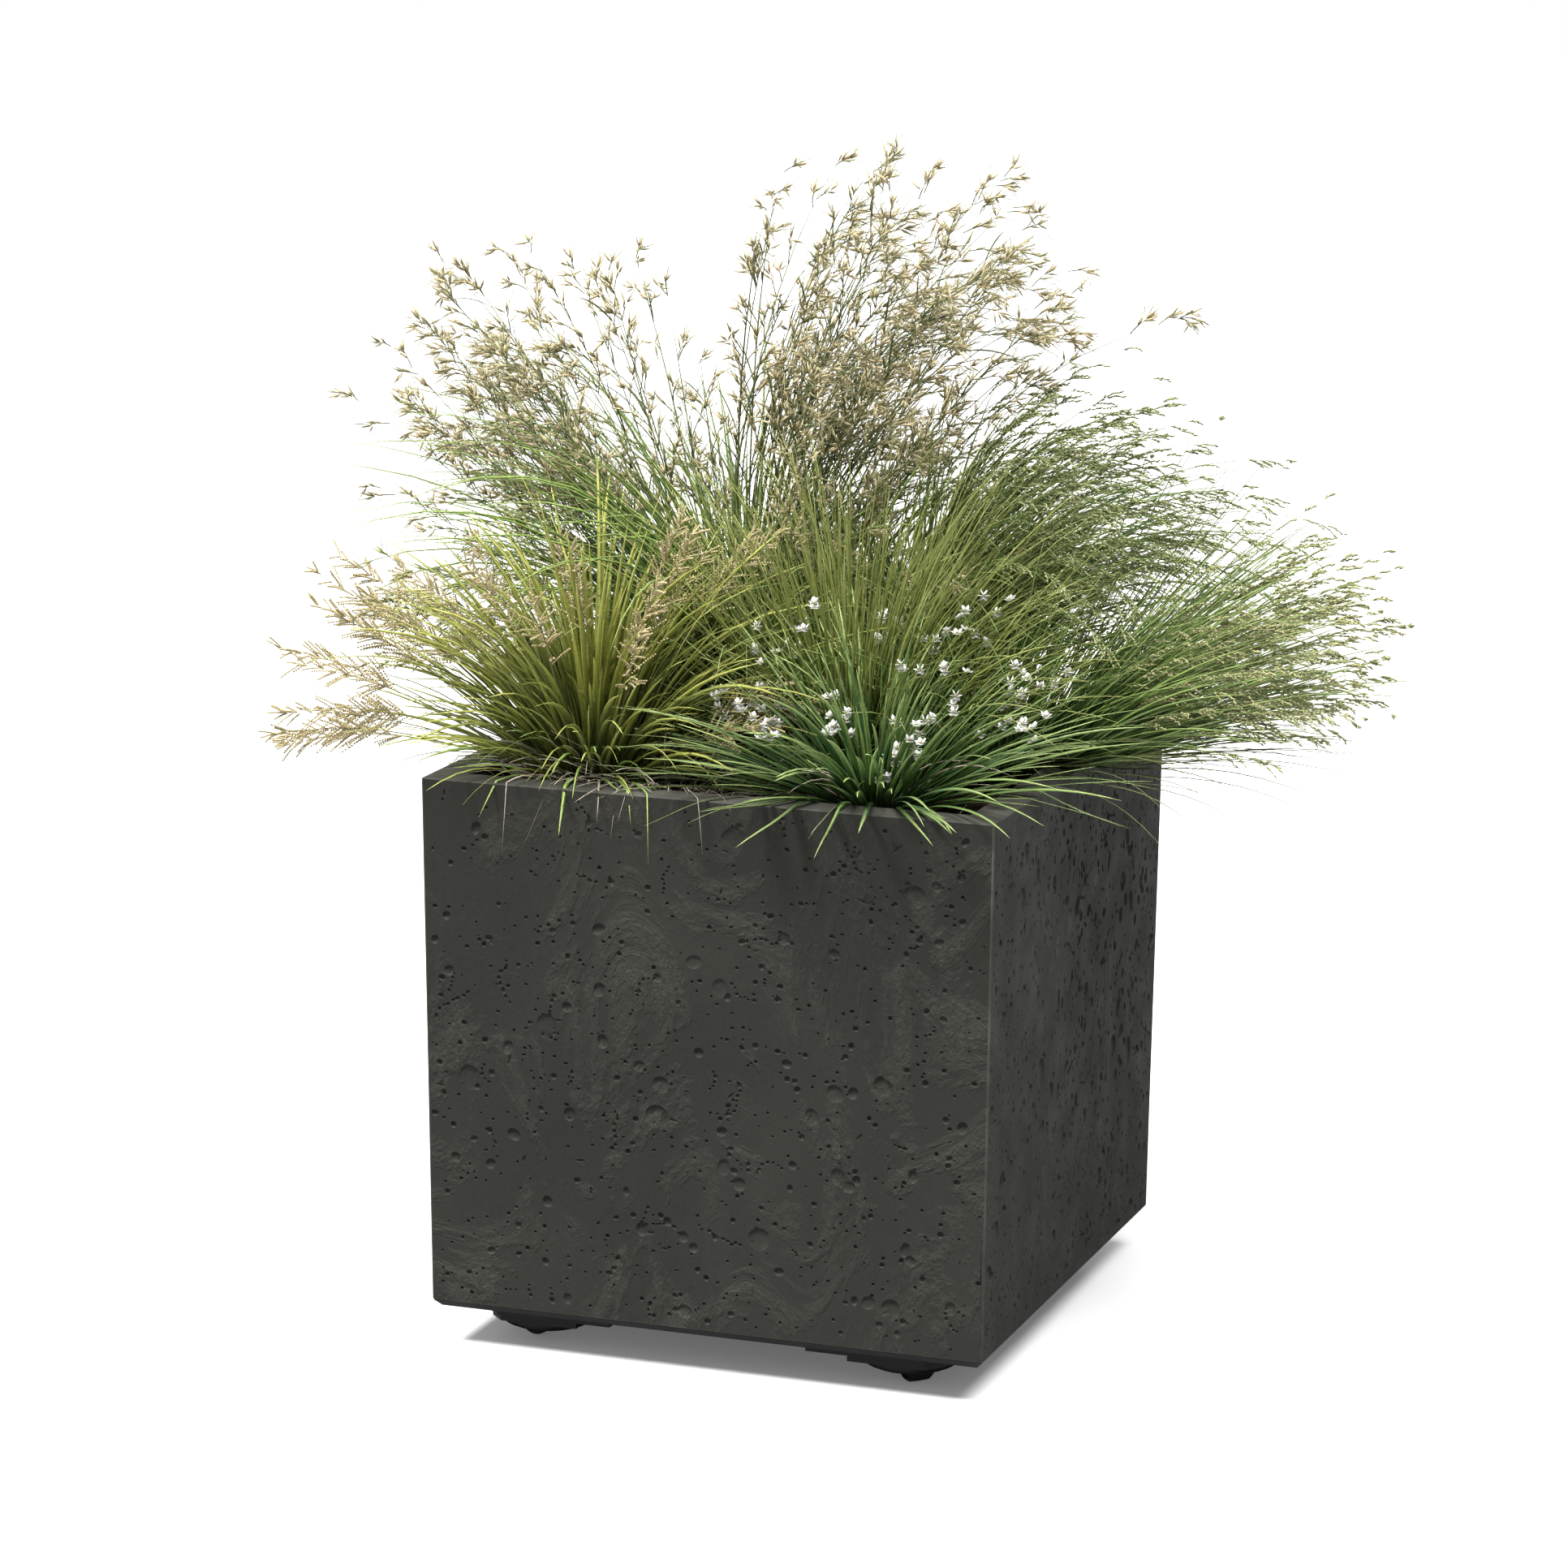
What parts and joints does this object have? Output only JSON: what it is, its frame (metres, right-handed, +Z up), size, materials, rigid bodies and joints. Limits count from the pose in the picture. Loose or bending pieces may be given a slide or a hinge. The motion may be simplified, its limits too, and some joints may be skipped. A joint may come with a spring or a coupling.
{
  "type": "planter box",
  "caption": "Square planter box with a dark concrete-effect shell on low swivel castors, with a lift-out liner planted with ornamental grasses.",
  "frame": {"origin": "on the ground under the middle of the square box, where the castor wheels stand", "axes": "+Z up, -Y out of the front face, +X to the right seen from the front"},
  "size_m": [0.7153, 0.467, 0.7965],
  "materials": {
    "shell": "moulded anthracite concrete effect, matt",
    "black_plastic": "black moulded plastic, satin",
    "wheel_plastic": "black nylon, satin",
    "steel": "zinc-plated steel",
    "liner_plastic": "dark grey moulded plastic, matt",
    "soil": "dark potting soil, loose grain",
    "tall_oat_grass": "living grass leaf, satin",
    "green_panic_grass": "living grass leaf, satin",
    "fine_feather_grass": "living grass leaf, satin",
    "broad_sedge": "living grass leaf, satin",
    "white_lilyturf": "living grass leaf, satin",
    "fountain_grass": "living grass leaf, satin"
  },
  "bodies": {
    "root": {"outer_shell": "shell", "base_tray": "black_plastic", "front_left_castor_mount": "black_plastic", "front_right_castor_mount": "black_plastic", "back_left_castor_mount": "black_plastic", "back_right_castor_mount": "black_plastic", "front_left_mount_screw_a": "steel", "front_left_mount_screw_b": "steel", "front_right_mount_screw_a": "steel", "front_right_mount_screw_b": "steel", "back_left_mount_screw_a": "steel", "back_left_mount_screw_b": "steel", "back_right_mount_screw_a": "steel", "back_right_mount_screw_b": "steel", "tray_screw_left": "steel", "tray_screw_right": "steel", "tray_screw_front": "steel", "tray_screw_back": "steel"},
    "front_left_castor": {"front_left_castor_housing": "black_plastic", "front_left_kingpin": "steel", "front_left_axle": "steel"},
    "front_left_roller": {"front_left_wheel": "wheel_plastic"},
    "front_right_castor": {"front_right_castor_housing": "black_plastic", "front_right_kingpin": "steel", "front_right_axle": "steel"},
    "front_right_roller": {"front_right_wheel": "wheel_plastic"},
    "back_left_castor": {"back_left_castor_housing": "black_plastic", "back_left_kingpin": "steel", "back_left_axle": "steel"},
    "back_left_roller": {"back_left_wheel": "wheel_plastic"},
    "back_right_castor": {"back_right_castor_housing": "black_plastic", "back_right_kingpin": "steel", "back_right_axle": "steel"},
    "back_right_roller": {"back_right_wheel": "wheel_plastic"},
    "liner": {"liner_pot": "liner_plastic", "potting_soil": "soil", "tall_oat_grass": "tall_oat_grass", "green_panic_grass": "green_panic_grass", "fine_feather_grass": "fine_feather_grass", "broad_sedge": "broad_sedge", "white_lilyturf": "white_lilyturf", "fountain_grass": "fountain_grass"}
  },
  "joints": [
    {"name": "front_left_swivel", "type": "hinge", "parent": "root", "child": "front_left_castor", "pos_m": [-0.1305, -0.146, 0.03], "axis": [0, 0, 1], "continuous": true},
    {"name": "front_left_roll", "type": "hinge", "parent": "front_left_castor", "child": "front_left_roller", "pos_m": [-0.13838, -0.14461, 0.0125], "axis": [-0.1736, -0.9848, 0], "continuous": true},
    {"name": "front_right_swivel", "type": "hinge", "parent": "root", "child": "front_right_castor", "pos_m": [0.1305, -0.146, 0.03], "axis": [0, 0, 1], "continuous": true},
    {"name": "front_right_roll", "type": "hinge", "parent": "front_right_castor", "child": "front_right_roller", "pos_m": [0.13616, -0.15166, 0.0125], "axis": [0.7071, 0.7071, 0], "continuous": true},
    {"name": "back_left_swivel", "type": "hinge", "parent": "root", "child": "back_left_castor", "pos_m": [-0.1305, 0.146, 0.03], "axis": [0, 0, 1], "continuous": true},
    {"name": "back_left_roll", "type": "hinge", "parent": "back_left_castor", "child": "back_left_roller", "pos_m": [-0.12712, 0.15325, 0.0125], "axis": [-0.9063, 0.4226, 0], "continuous": true},
    {"name": "back_right_swivel", "type": "hinge", "parent": "root", "child": "back_right_castor", "pos_m": [0.1305, 0.146, 0.03], "axis": [0, 0, 1], "continuous": true},
    {"name": "back_right_roll", "type": "hinge", "parent": "back_right_castor", "child": "back_right_roller", "pos_m": [0.12437, 0.15114, 0.0125], "axis": [-0.6428, -0.766, 0], "continuous": true},
    {"name": "liner_lift", "type": "slide", "parent": "root", "child": "liner", "axis": [0, 0, 1], "range_m": [0, 0.345]}
  ]
}
